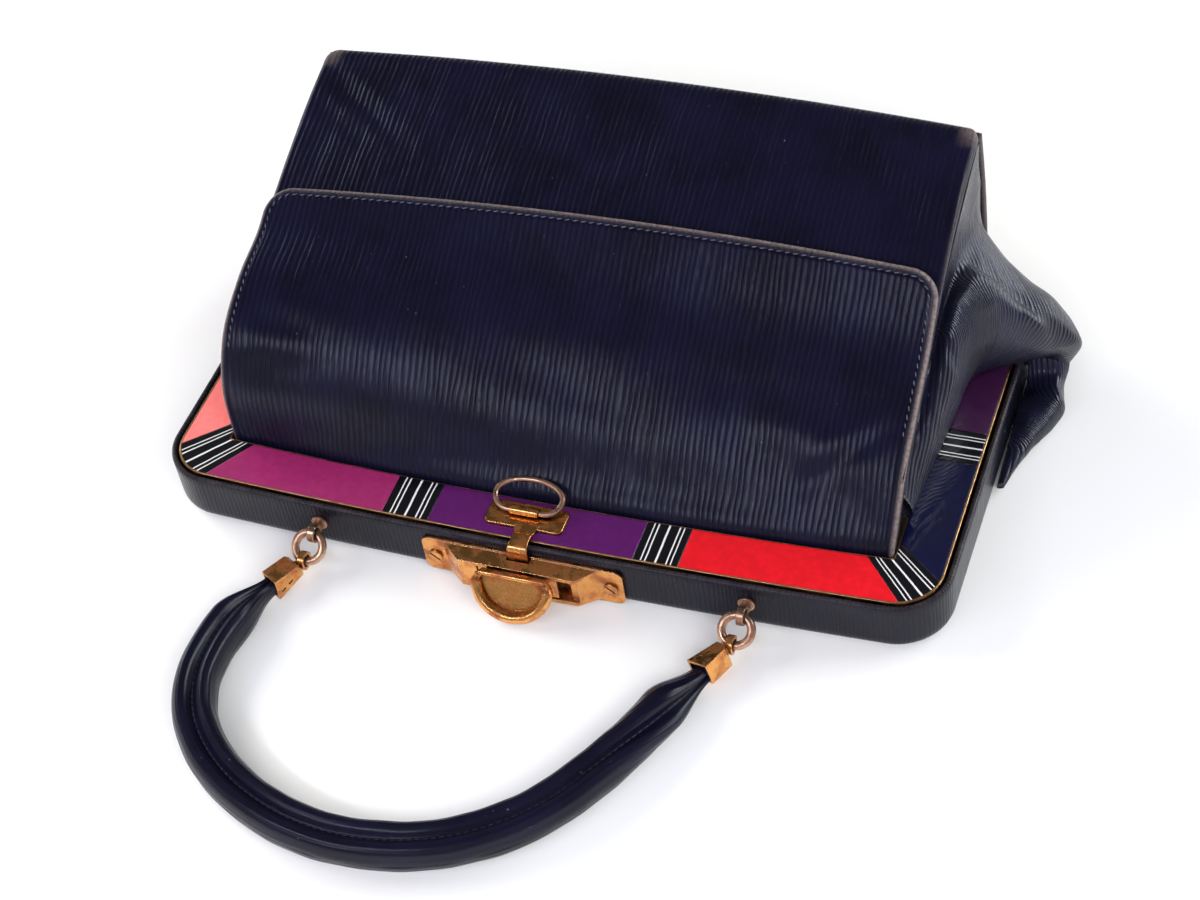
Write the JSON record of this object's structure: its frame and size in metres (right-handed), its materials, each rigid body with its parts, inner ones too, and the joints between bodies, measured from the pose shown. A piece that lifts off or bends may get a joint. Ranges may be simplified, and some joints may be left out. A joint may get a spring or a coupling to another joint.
{
  "type": "framed handbag",
  "caption": "Structured leather handbag with a hinged enamelled top frame, hasp and sliding lock, stitched front overlay, folded gussets and a two-roll handle",
  "frame": {"origin": "midway between the two hinges of the frame, on the outside of the back panel", "axes": "+X along the width, +Y from the bar of the frame to the bottom of the bag, +Z out of the front"},
  "size_m": [0.321, 0.287, 0.0966],
  "materials": {
    "leather": "satin",
    "lining": "matte",
    "steel": "satin",
    "gilt": "polished",
    "aged_brass": "worn",
    "bronze": "dark patina",
    "enamel_black": "glossy",
    "enamel_coral": "glossy",
    "enamel_magenta": "glossy",
    "enamel_purple": "glossy",
    "enamel_red": "glossy",
    "enamel_navy": "glossy",
    "enamel_plum": "glossy"
  },
  "bodies": {
    "root": {"rim_cover": "leather", "back_panel": "leather", "base_panel": "leather", "front_panel": "leather", "front_overlay": "leather", "gusset_left": "leather", "gusset_right": "leather", "lining_back": "lining", "lining_front": "lining", "back_frame": "steel", "hinge_pin_left": "steel", "hinge_pin_right": "steel", "lock_case": "aged_brass", "lock_screw_left": "aged_brass", "lock_screw_right": "aged_brass", "handle_post_left": "bronze", "handle_post_right": "bronze"},
    "front_frame": {"front_frame": "gilt", "hasp_plate": "aged_brass", "enamel_coral": "enamel_coral", "enamel_magenta": "enamel_magenta", "enamel_purple": "enamel_purple", "enamel_red": "enamel_red", "enamel_navy": "enamel_navy", "enamel_plum": "enamel_plum", "enamel_rear_left": "enamel_plum", "band_arm_left": "enamel_black", "band_corner_left": "enamel_black", "band_bar_left": "enamel_black", "band_bar_right": "enamel_black", "band_corner_right": "enamel_black", "band_arm_right": "enamel_black"},
    "pull_ring": {"pull_ring": "aged_brass"},
    "lock_slide": {"thumb_slide": "aged_brass", "lock_bolt": "steel"},
    "rings": {"ring_left": "bronze", "ring_right": "bronze"},
    "handle": {"handle_grip": "leather", "clip_left": "aged_brass", "clip_right": "aged_brass"}
  },
  "joints": [
    {"name": "frame_open", "type": "hinge", "parent": "root", "child": "front_frame", "pos_m": [0, 0, 0.01], "axis": [-1, 0, 0], "range_deg": [0, 65], "deforming": ["front_panel", "front_overlay", "lining_front", "gusset_left", "gusset_right"]},
    {"name": "pull_ring", "type": "hinge", "parent": "front_frame", "child": "pull_ring", "pos_m": [0, -0.112, 0.02295], "axis": [1, 0, 0], "range_deg": [0, 120]},
    {"name": "lock_slide", "type": "slide", "parent": "root", "child": "lock_slide", "axis": [1, 0, 0], "range_m": [0, 0.007], "stiffness_N_per_m": 200, "springref_m": -0.003},
    {"name": "ring_swing", "type": "hinge", "parent": "root", "child": "rings", "pos_m": [0, -0.1298, 0.0122], "axis": [-1, 0, 0], "range_deg": [-20, 70]},
    {"name": "handle_swing", "type": "hinge", "parent": "rings", "child": "handle", "pos_m": [0, -0.1375, 0.00582], "axis": [-1, 0, 0], "range_deg": [-100, 30]}
  ]
}
